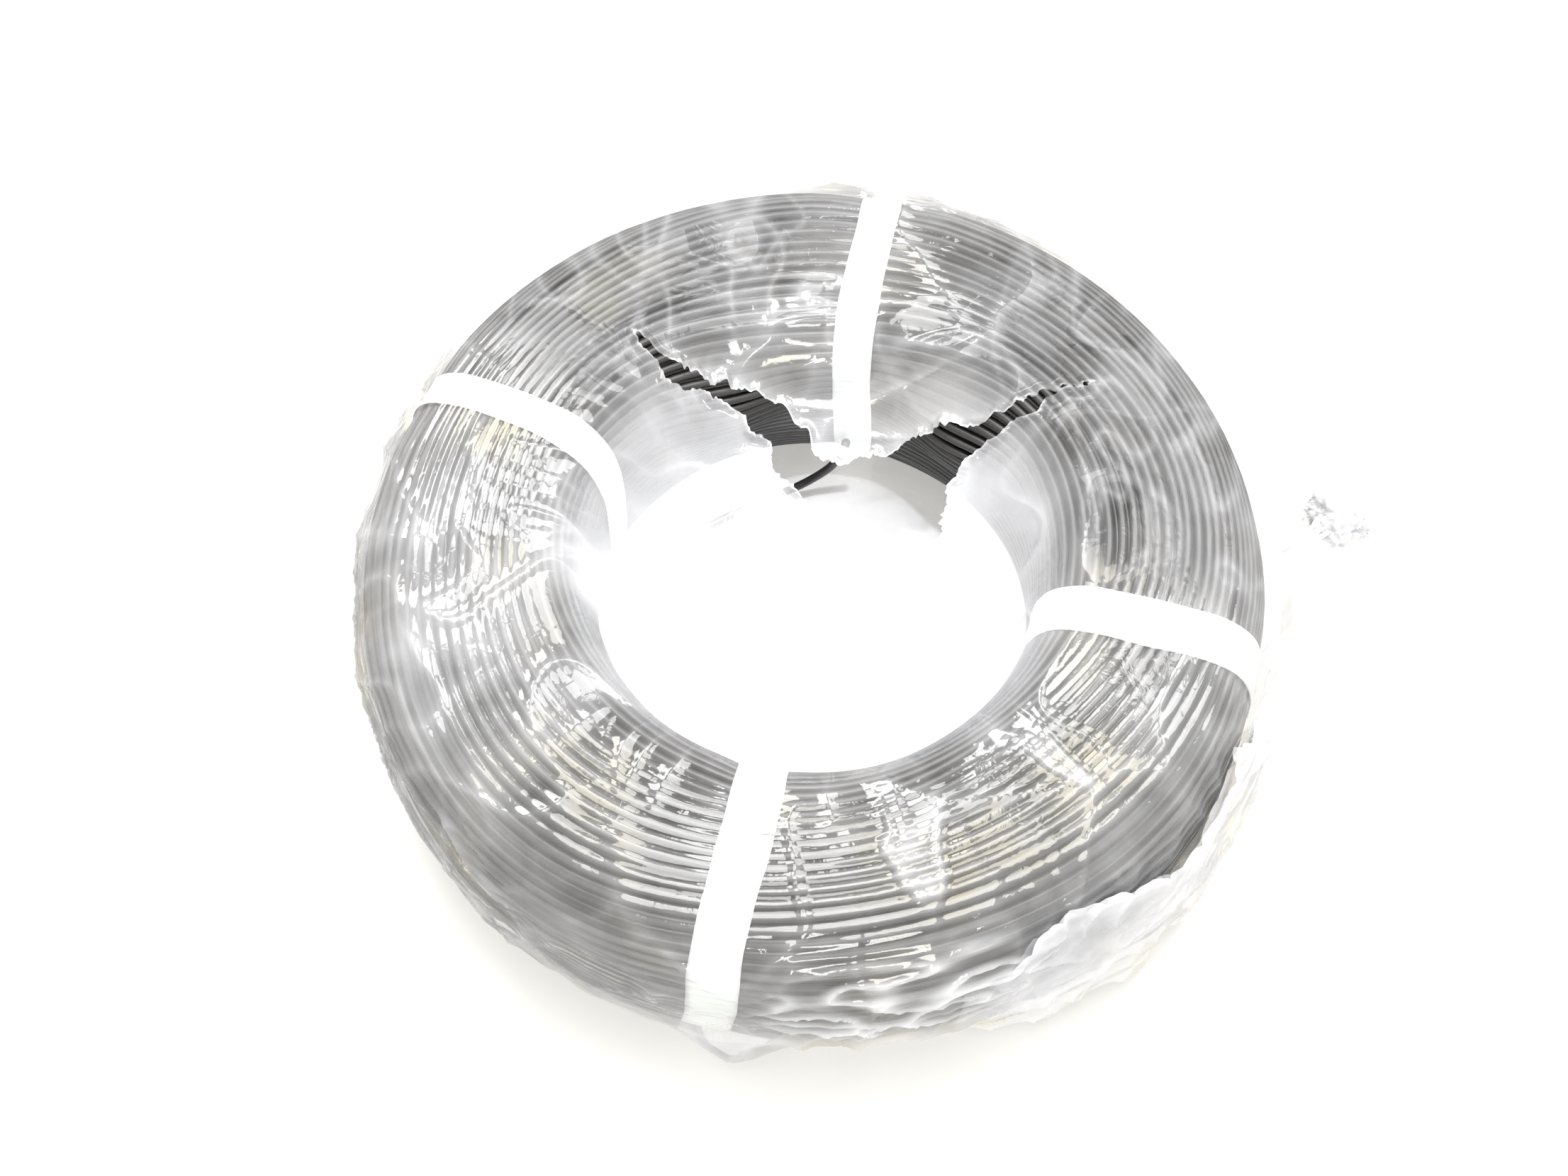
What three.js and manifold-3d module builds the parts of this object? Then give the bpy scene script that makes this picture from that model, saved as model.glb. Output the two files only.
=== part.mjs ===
// A coil of black silicone wire lying flat, tied with four tapes and wrapped in clear film.
// Millimetres, +Z up. The origin is on the coil's axis, on the floor face of the film.
// Azimuth 0 is +X and 90 is +Y, the far side of the coil.
import * as THREE from "three";
import { mergeVertices } from "three/addons/utils/BufferGeometryUtils.js";
import Module from "manifold-3d";

const wasm = await Module();
wasm.setup();

// The wire and the coil that it is wound into
const wireDiameter = 2.3;
const boreDiameter = 109;
const coilWidth = 57.5;
const coilHeight = 66;
const sectionSquareness = 3.2; // 2 is an ellipse, and more is nearer a rectangle
const turnPitch = 2.4;
const turnGroove = 0.7;
const coilSides = 40;
const plainSteps = 9; // points along each plain side of the section

// The tapes that tie the coil, and where each one is
const tapeWidth = 12;
const tapeThickness = 0.8;
const tapeGap = 0.3;
const tapeSteps = 28;
const tapeAzimuths = { front: -103, right: -16, back: 79, left: 156 };

// The film round it all
const filmThickness = 0.6;
const filmSides = 60;
const filmSteps = 6; // points on each quarter of the section
const membraneSteps = 5;
const membraneDrop = 29; // how far the film sags across the bore, below its highest face

// Loose film: [azimuth, half the width in degrees, reach, height of the widest place, half height]
const gatheredEnd = { azimuth: 2, halfWidth: 20, reach: 14, height: 26, halfHeight: 42 };
const sealedFlap = { azimuth: -46, halfWidth: 34, reach: 6, height: 16, halfHeight: 40 };
const bagCorner = { azimuth: -100, halfWidth: 14, reach: 5, height: 4, halfHeight: 26 };

// The bunched end of the film, a neck and a knot beside the gathered end
const knotAzimuth = 10.5;
const knotReach = 28; // from the coil's outside to the middle of the knot
const knotHeight = 31;
const knotRadius = 7.5;
const neckRadius = 2.4;
const neckAzimuth = 6.5;

// The tear, as it goes round: [azimuth, distance from the axis as a share of the bore's radius]
const tearEdge = [
  [129, 1.32], [118.5, 1.05], [100, 0.86], [93, 0.7], [79, 0.6], [63.5, 0.65], [56, 0.84],
  [43, 1.11], [32, 1.46], [33.5, 1.3], [34.5, 1.09], [37, 0.86], [28, 0.66], [11, 0.48],
  [2, 0.24], [-3, 0.13], [64, 0.2], [104, 0.45], [107, 0.61], [111, 0.75], [118.5, 0.92],
  [125, 1.07],
];
const tearFloor = 8; // the tear goes through the upper film only

// The free inner end of the wire, at its middle: [azimuth, distance from the axis, height]
const tailRoute = [
  [79.5, 51.2, 26], [80.3, 51, 21.5], [82, 50.7, 17], [84.5, 50.2, 12.8], [88.5, 49.5, 9],
  [94, 48.6, 5.8], [102, 47.6, 3.4], [111, 46.8, 2.4], [120, 46.8, 2.1], [130, 47.4, 2.1],
  [141, 48.2, 2.1], [150, 49, 2.1], [157, 49.6, 2.1],
];
const tailSides = 8;
const tailSteps = 18;

const boreRadius = boreDiameter / 2;
const coilRadius = boreRadius + coilWidth;
const middleRadius = boreRadius + coilWidth / 2;
const tapeClear = tapeGap + tapeThickness + tapeGap;
const coilMiddle = filmThickness + tapeClear + coilHeight / 2;
const radians = THREE.MathUtils.degToRad;

// What a flat tape or a flat facet stands off a round wall of this radius
const standOff = (radius, width) => Math.hypot(radius, width / 2) - radius;
const facetDrop = (radius, sides) => radius * (1 - Math.cos(Math.PI / sides));
const filmClear =
  tapeClear + standOff(coilRadius + tapeClear, tapeWidth) + facetDrop(coilRadius, filmSides);

// A point of a rounded oblong with these half sizes, at an angle from its outward side
function onSection(halfWidth, halfHeight, angle) {
  const shaped = (v) => Math.sign(v) * Math.abs(v) ** (2 / sectionSquareness);
  return new THREE.Vector2(
    middleRadius + halfWidth * shaped(Math.cos(angle)),
    coilMiddle + halfHeight * shaped(Math.sin(angle)),
  );
}

// The height of the coil's end above its middle, at a distance from the section's middle
function endHeight(across) {
  const share = Math.min(1, Math.abs(across) / (coilWidth / 2));
  return (coilHeight / 2) * (1 - share ** sectionSquareness) ** (1 / sectionSquareness);
}

// A lathe about +Z, with only its positions kept and its seam closed
function turned(profile, sides, move = null) {
  const lathe = new THREE.LatheGeometry(profile, sides).rotateX(Math.PI / 2);
  lathe.deleteAttribute("normal");
  lathe.deleteAttribute("uv");
  const place = lathe.getAttribute("position");
  const point = new THREE.Vector3();
  for (let i = 0; move && i < place.count; i++) {
    move(point.fromBufferAttribute(place, i));
    place.setXYZ(i, point.x, point.y, point.z);
  }
  return mergeVertices(lathe, 1e-4);
}

function toSolid(geometry) {
  const bare = geometry.clone();
  bare.deleteAttribute("normal");
  bare.deleteAttribute("uv");
  const merged = mergeVertices(bare, 1e-4);
  return new wasm.Manifold(
    new wasm.Mesh({
      numProp: 3,
      vertProperties: new Float32Array(merged.getAttribute("position").array),
      triVerts: new Uint32Array(merged.index.array),
    }),
  );
}

function toGeometry(solid) {
  const mesh = solid.getMesh();
  const geometry = new THREE.BufferGeometry();
  geometry.setAttribute("position", new THREE.BufferAttribute(mesh.vertProperties, 3));
  geometry.setIndex(new THREE.BufferAttribute(mesh.triVerts, 1));
  geometry.computeVertexNormals();
  return geometry;
}

function polar(azimuth, radius, height = 0) {
  const angle = radians(azimuth);
  return new THREE.Vector3(radius * Math.cos(angle), radius * Math.sin(angle), height);
}

// The coil: both ends show the turns as ridges, and the walls are plain
function coilProfile() {
  const turns = Math.floor((coilWidth * 0.78) / turnPitch);
  const start = (-turns * turnPitch) / 2;
  const end = [];
  for (let i = 0; i <= 2 * turns; i++) {
    const across = start + (i * turnPitch) / 2;
    const groove = i % 2 ? 0 : turnGroove;
    end.push([across, endHeight(across) - groove]);
  }
  const wallAngle = Math.atan2(
    (endHeight(start) / (coilHeight / 2)) ** (sectionSquareness / 2),
    (-start / (coilWidth / 2)) ** (sectionSquareness / 2),
  );
  const wall = (middle) =>
    Array.from({ length: plainSteps }, (_, i) => {
      const angle = middle + wallAngle * ((2 * (i + 1)) / (plainSteps + 1) - 1);
      return onSection(coilWidth / 2, coilHeight / 2, angle);
    });
  const at = ([across, height], side) =>
    new THREE.Vector2(middleRadius + across, coilMiddle + side * height);
  const profile = [
    ...end.map((p) => at(p, -1)),
    ...wall(0),
    ...[...end].reverse().map((p) => at(p, 1)),
    ...wall(Math.PI),
  ];
  return [...profile, profile[0]];
}

// A tape is a flat loop round the section, with its width along the coil's turns
function tapeLoop() {
  const boreStandOff =
    boreRadius - Math.sqrt(boreRadius ** 2 - (tapeWidth / 2) ** 2) + facetDrop(boreRadius, coilSides);
  const loop = (clear) => {
    const points = [];
    for (let i = 0; i < tapeSteps; i++) {
      const angle = (2 * Math.PI * i) / tapeSteps;
      const point = onSection(coilWidth / 2 + clear, coilHeight / 2 + clear, angle);
      point.x -= boreStandOff * Math.max(0, -Math.cos(angle)) ** (2 / sectionSquareness);
      points.push(point);
    }
    return points;
  };
  const shape = new THREE.Shape(loop(tapeGap + tapeThickness));
  shape.holes.push(new THREE.Path(loop(tapeGap).reverse()));
  const geometry = new THREE.ExtrudeGeometry(shape, { depth: tapeWidth, bevelEnabled: false });
  return geometry.translate(0, 0, -tapeWidth / 2).rotateX(Math.PI / 2);
}

// How far a loose place of the film stands out, from 1 at its middle to 0 at its edge
function fullness(place, azimuth, height) {
  const turn = Math.abs(((azimuth - place.azimuth + 540) % 360) - 180) / place.halfWidth;
  const rise = Math.abs(height - place.height) / place.halfHeight;
  if (turn >= 1 || rise >= 1) return 0;
  return Math.cos((turn * Math.PI) / 2) ** 2 * Math.cos((rise * Math.PI) / 2) ** 2;
}

// The most that any loose place lets the film stand out here
function looseReach(azimuth, height) {
  const places = [gatheredEnd, sealedFlap, bagCorner];
  return Math.max(...places.map((place) => place.reach * fullness(place, azimuth, height)));
}

// Moves a point of the film outwards where the film is loose, and not inside the coil's middle
function loosen(point) {
  const radius = Math.hypot(point.x, point.y);
  const out = THREE.MathUtils.smoothstep(radius, middleRadius, coilRadius);
  if (out === 0) return;
  const azimuth = THREE.MathUtils.radToDeg(Math.atan2(point.y, point.x));
  const grown = (radius + looseReach(azimuth, point.z) * out) / radius;
  point.x *= grown;
  point.y *= grown;
}

// The film's section from the axis at the floor, out, up, over the coil and down into the bore
function filmProfile(grown, floor) {
  const halfWidth = coilWidth / 2 + filmClear + grown;
  const halfHeight = coilHeight / 2 + tapeClear + grown;
  const profile = [new THREE.Vector2(0, floor)];
  const quarter = Math.PI / 2;
  for (let i = 0; i <= 2.5 * filmSteps; i++) {
    profile.push(onSection(halfWidth, halfHeight, -quarter + (i * quarter) / filmSteps));
  }
  const leaves = profile.at(-1);
  const lowest = coilMiddle + halfHeight - membraneDrop;
  const slope = halfHeight / halfWidth;
  const bend = new THREE.Vector2(leaves.x - (leaves.y - lowest) / slope, lowest);
  const membrane = new THREE.QuadraticBezierCurve(leaves, bend, new THREE.Vector2(0, lowest));
  return [...profile, ...membrane.getPoints(membraneSteps).slice(1)];
}

function tearCutter() {
  const outline = tearEdge.map(([azimuth, share]) => {
    const point = polar(azimuth, share * boreRadius);
    return new THREE.Vector2(point.x, point.y);
  });
  const depth = coilMiddle + coilHeight;
  const geometry = new THREE.ExtrudeGeometry(new THREE.Shape(outline.reverse()), {
    depth,
    bevelEnabled: false,
  });
  return geometry.translate(0, 0, tearFloor);
}

// The knot and its neck, whose flat root meets the gathered end of the film
function knotSolid() {
  const flank = coilRadius + filmClear + filmThickness + looseReach(neckAzimuth, knotHeight);
  const root = polar(neckAzimuth, flank + tapeGap, knotHeight);
  const middle = polar(knotAzimuth, coilRadius + knotReach, knotHeight);
  const along = middle.clone().sub(root);
  const neck = new THREE.CylinderGeometry(neckRadius * 1.6, neckRadius, along.length(), 10, 3);
  neck.applyQuaternion(
    new THREE.Quaternion().setFromUnitVectors(
      new THREE.Vector3(0, 1, 0),
      along.clone().normalize(),
    ),
  );
  neck.translate(...root.clone().add(middle).multiplyScalar(0.5).toArray());
  const head = new THREE.IcosahedronGeometry(knotRadius, 2);
  head.translate(...middle.toArray());
  return toSolid(neck).add(toSolid(head));
}

function filmSolid() {
  const outside = toSolid(turned(filmProfile(filmThickness, 0), filmSides, loosen));
  const inside = toSolid(turned(filmProfile(0, filmThickness), filmSides, loosen));
  return outside.subtract(inside).subtract(toSolid(tearCutter()));
}

// The free end is a tube along a smooth curve
function tailTube() {
  const route = new THREE.CatmullRomCurve3(tailRoute.map((p) => polar(...p)));
  const corners = Array.from({ length: tailSides }, (_, i) => {
    const angle = (2 * Math.PI * i) / tailSides;
    return new THREE.Vector2(Math.cos(angle), Math.sin(angle)).multiplyScalar(wireDiameter / 2);
  });
  return new THREE.ExtrudeGeometry(new THREE.Shape(corners), {
    steps: tailSteps,
    extrudePath: route,
  });
}

const silicone = new THREE.MeshStandardMaterial({ color: 0x1b1b1a, roughness: 0.55, metalness: 0 });
const bareWire = new THREE.MeshStandardMaterial({ color: 0x2a2926, roughness: 0.5, metalness: 0 });
const whiteTape = new THREE.MeshStandardMaterial({ color: 0xf6f3ec, roughness: 0.45, metalness: 0 });
const clearFilm = new THREE.MeshStandardMaterial({
  color: 0xf4f4f4,
  roughness: 0.12,
  metalness: 0,
  transparent: true,
  opacity: 0.3,
});

function named(name, geometry, material) {
  const mesh = new THREE.Mesh(geometry, material);
  mesh.name = name;
  return mesh;
}

const wrappedCoil = new THREE.Group();
wrappedCoil.add(named("wire_coil", turned(coilProfile(), coilSides), silicone));
wrappedCoil.add(named("wire_tail", tailTube(), bareWire));
for (const [side, azimuth] of Object.entries(tapeAzimuths)) {
  const tape = named(`tie_tape_${side}`, tapeLoop(), whiteTape.clone());
  tape.rotation.z = radians(azimuth);
  wrappedCoil.add(tape);
}
wrappedCoil.add(named("wrap_film", toGeometry(filmSolid()), clearFilm));
wrappedCoil.add(named("wrap_film_knot", toGeometry(knotSolid()), clearFilm.clone()));

export default wrappedCoil;
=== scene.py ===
"""A coil of black silicone wire, tied with white tape and wrapped in torn clear film, on a pale floor.

Lengths are in millimetres until a mesh is made, which is in metres. The coil's axis is Z. Azimuth 0 is
+X, and 90 is +Y, away from the camera.
"""
import math

import bpy
import numpy as np
from mathutils import Matrix, Vector


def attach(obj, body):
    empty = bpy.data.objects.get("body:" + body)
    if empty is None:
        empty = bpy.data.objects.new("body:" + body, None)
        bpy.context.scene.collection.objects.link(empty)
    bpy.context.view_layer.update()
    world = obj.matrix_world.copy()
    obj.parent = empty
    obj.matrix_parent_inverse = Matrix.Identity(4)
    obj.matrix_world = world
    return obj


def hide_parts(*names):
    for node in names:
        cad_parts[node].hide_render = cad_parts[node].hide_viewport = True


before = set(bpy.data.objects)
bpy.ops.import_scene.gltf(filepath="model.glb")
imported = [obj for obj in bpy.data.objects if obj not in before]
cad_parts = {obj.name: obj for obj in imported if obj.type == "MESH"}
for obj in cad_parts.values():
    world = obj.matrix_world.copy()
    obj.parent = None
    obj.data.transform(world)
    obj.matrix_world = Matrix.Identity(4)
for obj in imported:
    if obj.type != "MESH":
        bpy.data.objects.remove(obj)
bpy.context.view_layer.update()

MM = 0.001
TAU = 2 * math.pi

# The coil, as the part's source has it
WIRE = 2.3
BORE_RADIUS = 54.5
COIL_WIDTH = 57.5
COIL_HEIGHT = 66.0
SQUARENESS = 3.2  # of the rounded section; 2 is an ellipse
MIDDLE_RADIUS = BORE_RADIUS + COIL_WIDTH / 2
COIL_RADIUS = BORE_RADIUS + COIL_WIDTH
COIL_MIDDLE = 35.0  # the height of the section's middle
TAPE_AZIMUTHS = {"front": -103, "right": -16, "back": 79, "left": 156}

# The photograph's camera
PHOTO_WIDTH = 2212
FOCAL_PIXELS = 3000
SENSOR_WIDTH = 36
CAMERA_ELEVATION = 62.5
CAMERA_DISTANCE = 546.0
CAMERA_TARGET = (-7.3, 4.7, 29.0)

rng = np.random.default_rng(7)


# Camera
def add_camera():
    data = bpy.data.cameras.new("photo_camera")
    camera = bpy.data.objects.new("photo_camera", data)
    bpy.context.scene.collection.objects.link(camera)
    tilt = math.radians(CAMERA_ELEVATION)
    target = Vector(CAMERA_TARGET) * MM
    away = Vector((0, -math.cos(tilt), math.sin(tilt)))
    camera.location = target + away * CAMERA_DISTANCE * MM
    camera.rotation_euler = (math.pi / 2 - tilt, 0, 0)
    data.sensor_width = SENSOR_WIDTH
    data.lens = SENSOR_WIDTH * FOCAL_PIXELS / PHOTO_WIDTH
    data.clip_start = 0.01
    bpy.context.scene.camera = camera


# Numbers: noise that repeats on no grid, and curves sampled by their length
class Noise:
    """Smooth gradient noise in three dimensions, the same for the same seed."""

    def __init__(self, seed):
        r = np.random.default_rng(seed)
        self.order = np.tile(r.permutation(256), 3)
        self.slopes = r.normal(size=(256, 3))
        self.slopes /= np.linalg.norm(self.slopes, axis=1)[:, None]

    def __call__(self, points):
        cell = np.floor(points).astype(int)
        part = points - cell
        ease = part * part * part * (part * (part * 6 - 15) + 10)
        total = np.zeros(len(points))
        for corner in np.ndindex(2, 2, 2):
            c = np.array(corner)
            x, y, z = ((cell + c) % 256).T
            slope = self.slopes[self.order[self.order[self.order[x] + y] + z]]
            weight = np.prod(np.where(c, ease, 1 - ease), axis=1)
            total += weight * ((part - c) * slope).sum(1)
        return total * 1.6


def ridged(noise, points, sharp):
    """Noise with thin high lines where it crosses zero, from 0 to 1."""
    return np.clip(1 - np.abs(noise(points)) * 2.2, 0, 1) ** sharp


def smoothstep(x, low, high):
    """0 up to low, 1 from high on, smooth between."""
    t = np.clip((x - low) / (high - low), 0, 1)
    return t * t * (3 - 2 * t)


def bump(x, middle, half):
    """1 at the middle, 0 from half away on, smooth between."""
    return np.cos(np.clip(np.abs(x - middle) / half, 0, 1) * math.pi / 2) ** 2


def turn_from(azimuth, middle):
    """Degrees from one azimuth to another, -180 to 180."""
    return (azimuth - middle + 540) % 360 - 180


def facing(azimuth, middle, half):
    """1 at an azimuth in degrees, 0 from half the width away on, smooth between."""
    return bump(turn_from(azimuth, middle), 0, half)


def squarer(value):
    """A sine or cosine that gives a rounded square in place of a circle."""
    return np.sign(value) * np.abs(value) ** (2 / SQUARENESS)


def section_point(half_width, half_height, angle):
    """Radius and height on a section like the coil's, from its outermost point at angle 0 upward."""
    radius = MIDDLE_RADIUS + half_width * squarer(np.cos(angle))
    height = COIL_MIDDLE + half_height * squarer(np.sin(angle))
    return np.stack([radius, height], -1)


class Track:
    """A curve in the radius and height plane, looked up by the length along it."""

    def __init__(self, points, closed):
        self.points = np.vstack([points, points[:1]]) if closed else np.asarray(points)
        steps = np.linalg.norm(np.diff(self.points, axis=0), axis=1)
        self.at = np.concatenate([[0], np.cumsum(steps)])
        self.length = self.at[-1]
        self.closed = closed
        along = np.gradient(self.points, self.at, axis=0)
        if closed:
            along[0] = along[-1] = self.points[1] - self.points[-2]
        along /= np.linalg.norm(along, axis=1)[:, None]
        self.outward = np.stack([along[:, 1], -along[:, 0]], -1)

    def look(self, s):
        """Places and outward directions at lengths along the curve."""
        s = s % self.length if self.closed else np.clip(s, 0, self.length)
        place = np.stack([np.interp(s, self.at, self.points[:, k]) for k in (0, 1)], -1)
        out = np.stack([np.interp(s, self.at, self.outward[:, k]) for k in (0, 1)], -1)
        return place, out / np.linalg.norm(out, axis=-1, keepdims=True)


# Meshes
def make_object(name, points, faces, material):
    """A smooth piece from points in millimetres and faces of three or four corners, on the coil's body."""
    mesh = bpy.data.meshes.new(name)
    faces = np.asarray(faces)
    sides = faces.shape[1]
    mesh.vertices.add(len(points))
    mesh.vertices.foreach_set("co", (np.asarray(points) * MM).astype(np.float32).ravel())
    mesh.loops.add(faces.size)
    mesh.loops.foreach_set("vertex_index", faces.astype(np.int32).ravel())
    mesh.polygons.add(len(faces))
    mesh.polygons.foreach_set("loop_start", np.arange(0, faces.size, sides, dtype=np.int32))
    mesh.polygons.foreach_set("use_smooth", np.full(len(faces), True))
    mesh.update(calc_edges=True)
    mesh.validate()
    mesh.materials.append(material)
    piece = bpy.data.objects.new(name, mesh)
    bpy.context.scene.collection.objects.link(piece)
    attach(piece, "root")
    return piece


def add_values(piece, **layers):
    """Numbers for each of the mesh's points, which its material reads by name."""
    for name, values in layers.items():
        layer = piece.data.attributes.new(name, "FLOAT", "POINT")
        layer.data.foreach_set("value", np.asarray(values, np.float32))


def grid_faces(rows, columns, wrap_rows=False, wrap_columns=False):
    """Four-cornered faces of a grid of points stored row by row."""
    i = np.arange(rows if wrap_rows else rows - 1)
    j = np.arange(columns if wrap_columns else columns - 1)
    i, j = (a.ravel() for a in np.meshgrid(i, j, indexing="ij"))
    below, right = (i + 1) % rows, (j + 1) % columns
    corners = [i * columns + j, i * columns + right, below * columns + right, below * columns + j]
    return np.stack(corners, -1)


def halved(quads):
    """Two triangles for each four-cornered face."""
    return np.vstack([quads[:, [0, 1, 2]], quads[:, [0, 2, 3]]])


def around(place, azimuth):
    """Points from a radius and a height at each azimuth in radians."""
    radius, height, azimuth = np.broadcast_arrays(place[..., 0], place[..., 1], azimuth)
    return np.stack([radius * np.cos(azimuth), radius * np.sin(azimuth), height], -1)


def polar_point(azimuth, radius, height):
    angle = math.radians(azimuth)
    return np.array([radius * math.cos(angle), radius * math.sin(angle), height])


# Materials
def new_material(name):
    """A material with only its output node, and its tree."""
    material = bpy.data.materials.new(name)
    material.use_nodes = True
    tree = material.node_tree
    tree.nodes.clear()
    out = tree.nodes.new("ShaderNodeOutputMaterial")
    return material, tree, out


def node(tree, kind, inputs=None, **values):
    """A node with its inputs set, or linked where a socket is given, and its own values set."""
    made = tree.nodes.new(kind)
    for key, value in values.items():
        setattr(made, key, value)
    for key, value in (inputs or {}).items():
        if hasattr(value, "links"):
            tree.links.new(value, made.inputs[key])
        else:
            made.inputs[key].default_value = value
    return made


def object_noise(tree, scale, detail=2.0, roughness=0.5, distortion=0.0):
    """The value socket of a noise in the piece's own metres."""
    place = node(tree, "ShaderNodeTexCoord")
    made = node(
        tree,
        "ShaderNodeTexNoise",
        {
            "Vector": place.outputs["Object"],
            "Scale": scale,
            "Detail": detail,
            "Roughness": roughness,
            "Distortion": distortion,
        },
    )
    return made.outputs["Fac"]


def mapped(tree, value, low, high, to_low, to_high):
    """A value's range stretched onto another one."""
    made = node(
        tree,
        "ShaderNodeMapRange",
        {"Value": value, "From Min": low, "From Max": high, "To Min": to_low, "To Max": to_high},
    )
    return made.outputs["Result"]


def colours(tree, value, stops):
    """A colour ramp over a value."""
    ramp = node(tree, "ShaderNodeValToRGB", {"Fac": value})
    elements = ramp.color_ramp.elements
    while len(elements) > 1:
        elements.remove(elements[-1])
    for i, (place, colour) in enumerate(stops):
        element = elements[0] if i == 0 else elements.new(place)
        element.position = place
        element.color = (*colour, 1)
    return ramp.outputs["Color"]


def maths(tree, operation, first, second=None, clamp=False):
    inputs = {0: first} if second is None else {0: first, 1: second}
    made = node(tree, "ShaderNodeMath", inputs, operation=operation, use_clamp=clamp)
    return made.outputs[0]


def bumped(tree, height, strength, distance, under=None):
    """A bumped normal, laid over another one where that is given."""
    inputs = {"Height": height, "Strength": strength, "Distance": distance}
    if under is not None:
        inputs["Normal"] = under
    return node(tree, "ShaderNodeBump", inputs).outputs["Normal"]


def principled(tree, out, inputs):
    """One plain surface shader as the whole material."""
    surface = node(tree, "ShaderNodeBsdfPrincipled", inputs)
    tree.links.new(surface.outputs["BSDF"], out.inputs["Surface"])


def silicone_material():
    """Black silicone rubber: a soft sheen, talc dust in patches and a fine extrusion grain."""
    material, tree, out = new_material("black_silicone")
    dust = object_noise(tree, 90, 4, 0.6)
    fine = object_noise(tree, 1400, 2, 0.5)
    shade = colours(tree, dust, [(0.3, (0.010, 0.010, 0.0102)), (0.75, (0.026, 0.025, 0.0235))])
    looks = {
        "Base Color": shade,
        "Roughness": mapped(tree, dust, 0.3, 0.7, 0.32, 0.46),
        "Specular IOR Level": 0.85,
        "Normal": bumped(tree, fine, 0.12, 0.0001),
    }
    principled(tree, out, looks)
    return material


def metal_material():
    """Tinned copper strands, cut flush."""
    material, tree, out = new_material("tinned_strands")
    grain = object_noise(tree, 6000, 2)
    shade = colours(tree, grain, [(0.35, (0.45, 0.44, 0.42)), (0.65, (0.75, 0.74, 0.72))])
    principled(tree, out, {"Base Color": shade, "Metallic": 1.0, "Roughness": 0.35})
    return material


def shaded_core_material():
    """The turns deep inside the coil, which only show as dark gaps; darker than the outer silicone, partly
    their own black and partly painted shade of the deep gaps.
    """
    material, tree, out = new_material("inner_turns")
    cloud = object_noise(tree, 300, 3)
    # Painted shade: darker than the outer turns' silicone, for the deep gaps between turns
    shade = colours(tree, cloud, [(0.3, (0.004, 0.004, 0.004)), (0.7, (0.009, 0.009, 0.009))])
    principled(tree, out, {"Base Color": shade, "Roughness": 0.8})
    return material


def tape_material():
    """White plastic tape, with a fine grain and cloudy patches."""
    material, tree, out = new_material("white_tape")
    cloud = object_noise(tree, 60, 3)
    grain = object_noise(tree, 900, 2)
    looks = {
        "Base Color": colours(tree, cloud, [(0.3, (0.86, 0.85, 0.82)), (0.7, (0.94, 0.935, 0.92))]),
        "Roughness": mapped(tree, cloud, 0.3, 0.7, 0.38, 0.5),
        "Subsurface Weight": 0.15,
        "Subsurface Scale": 0.002,
        "Normal": bumped(tree, grain, 0.15, 0.0001),
    }
    principled(tree, out, looks)
    return material


def film_material():
    """Clear film: see-through, with a mirror gloss, a faint white haze and fine crinkles.

    The mesh says how milky it is (haze), how dull (dull), how closely it clings to the turns (cling) and
    which turn is under it (rib), so that it shows each turn as a soft rib where it clings, whitened along
    each rib's top as a painted highlight.
    """
    material, tree, out = new_material("clear_film")
    cloud = object_noise(tree, 55, 4, 0.6, distortion=0.6)
    fine = object_noise(tree, 150, 3, 0.5, distortion=1.2)
    haze, rib, cling, dull = (
        node(tree, "ShaderNodeAttribute", attribute_name=name).outputs["Fac"]
        for name in ("haze", "rib", "cling", "dull")
    )
    wave = maths(tree, "COSINE", maths(tree, "MULTIPLY", rib, TAU))
    raised = maths(tree, "MULTIPLY", mapped(tree, wave, -1, 1, 0, 1), cling)
    ribs = bumped(tree, raised, 0.38, 0.0007)
    normal = bumped(tree, fine, 0.14, 0.001, under=ribs)
    slope = node(tree, "ShaderNodeLayerWeight", {"Blend": 0.25, "Normal": normal})
    shine = mapped(tree, slope.outputs["Fresnel"], 0, 1, 0.06, 0.75)
    shine = maths(tree, "MULTIPLY", shine, mapped(tree, dull, 0, 1, 1, 0.12))
    see = node(tree, "ShaderNodeBsdfTransparent", {"Color": (0.98, 0.98, 0.985, 1)})
    # Painted reflection: the gloss turns yellowish in noisy patches, standing in for a warm lamp's
    # reflection
    warm_reflection_tint = colours(tree, object_noise(tree, 28, 2), [(0.5, (1, 1, 1)), (0.68, (1, 0.92, 0.68))])
    gloss = node(tree, "ShaderNodeBsdfGlossy", {"Color": warm_reflection_tint, "Roughness": 0.08, "Normal": normal})
    clear = node(tree, "ShaderNodeMixShader", {0: shine, 1: see.outputs[0], 2: gloss.outputs[0]})
    milk = node(
        tree,
        "ShaderNodeBsdfPrincipled",
        {"Base Color": (0.895, 0.91, 0.955, 1), "Roughness": 0.35, "Normal": normal},
    )
    veil = maths(tree, "ADD", mapped(tree, cloud, 0.35, 0.7, 0.0, 0.06), haze)
    # Painted highlight: the film is whiter along each turn's top where it clings
    veil = maths(tree, "ADD", veil, maths(tree, "MULTIPLY", raised, 0.07), clamp=True)
    mixed = node(tree, "ShaderNodeMixShader", {0: veil, 1: clear.outputs[0], 2: milk.outputs[0]})
    tree.links.new(mixed.outputs[0], out.inputs["Surface"])
    return material


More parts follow.
